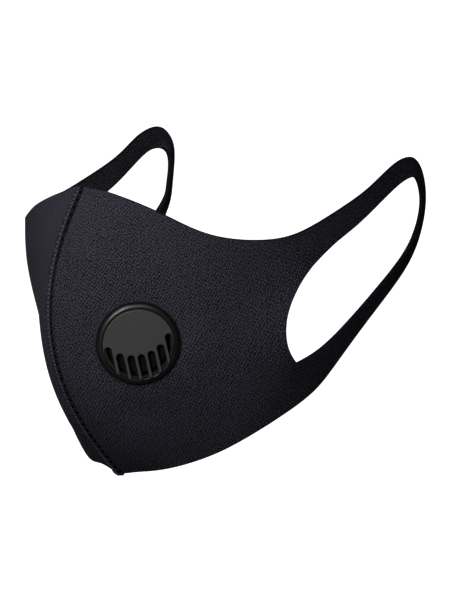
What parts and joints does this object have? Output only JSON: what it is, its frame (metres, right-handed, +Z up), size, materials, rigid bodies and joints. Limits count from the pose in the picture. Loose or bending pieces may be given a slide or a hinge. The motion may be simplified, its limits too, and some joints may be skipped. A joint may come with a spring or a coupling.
{
  "type": "neoprene face mask",
  "caption": "Contoured cloth face mask in its worn form, joined by a seam down the middle, with a die-cut ear loop on each side and a round slotted exhalation valve.",
  "frame": {"origin": "where the mask rests on the bridge of the nose: the upper end of the centre seam, in the middle of the cloth's thickness", "axes": "-Y is the way the wearer looks, +X is the wearer's left, +Z is up; the centre seam lies in x = 0"},
  "size_m": [0.1473, 0.1648, 0.135],
  "materials": {
    "neoprene_cloth": "fine knit face on thin foam",
    "seam_thread": "flat overlock stitching",
    "valve_plastic": "satin moulded",
    "valve_silicone": "smooth"
  },
  "bodies": {
    "root": {"left_panel": "neoprene_cloth", "right_panel": "neoprene_cloth", "centre_seam": "seam_thread", "valve_cap": "valve_plastic", "valve_base": "valve_plastic", "valve_flap": "valve_silicone"}
  },
  "joints": []
}
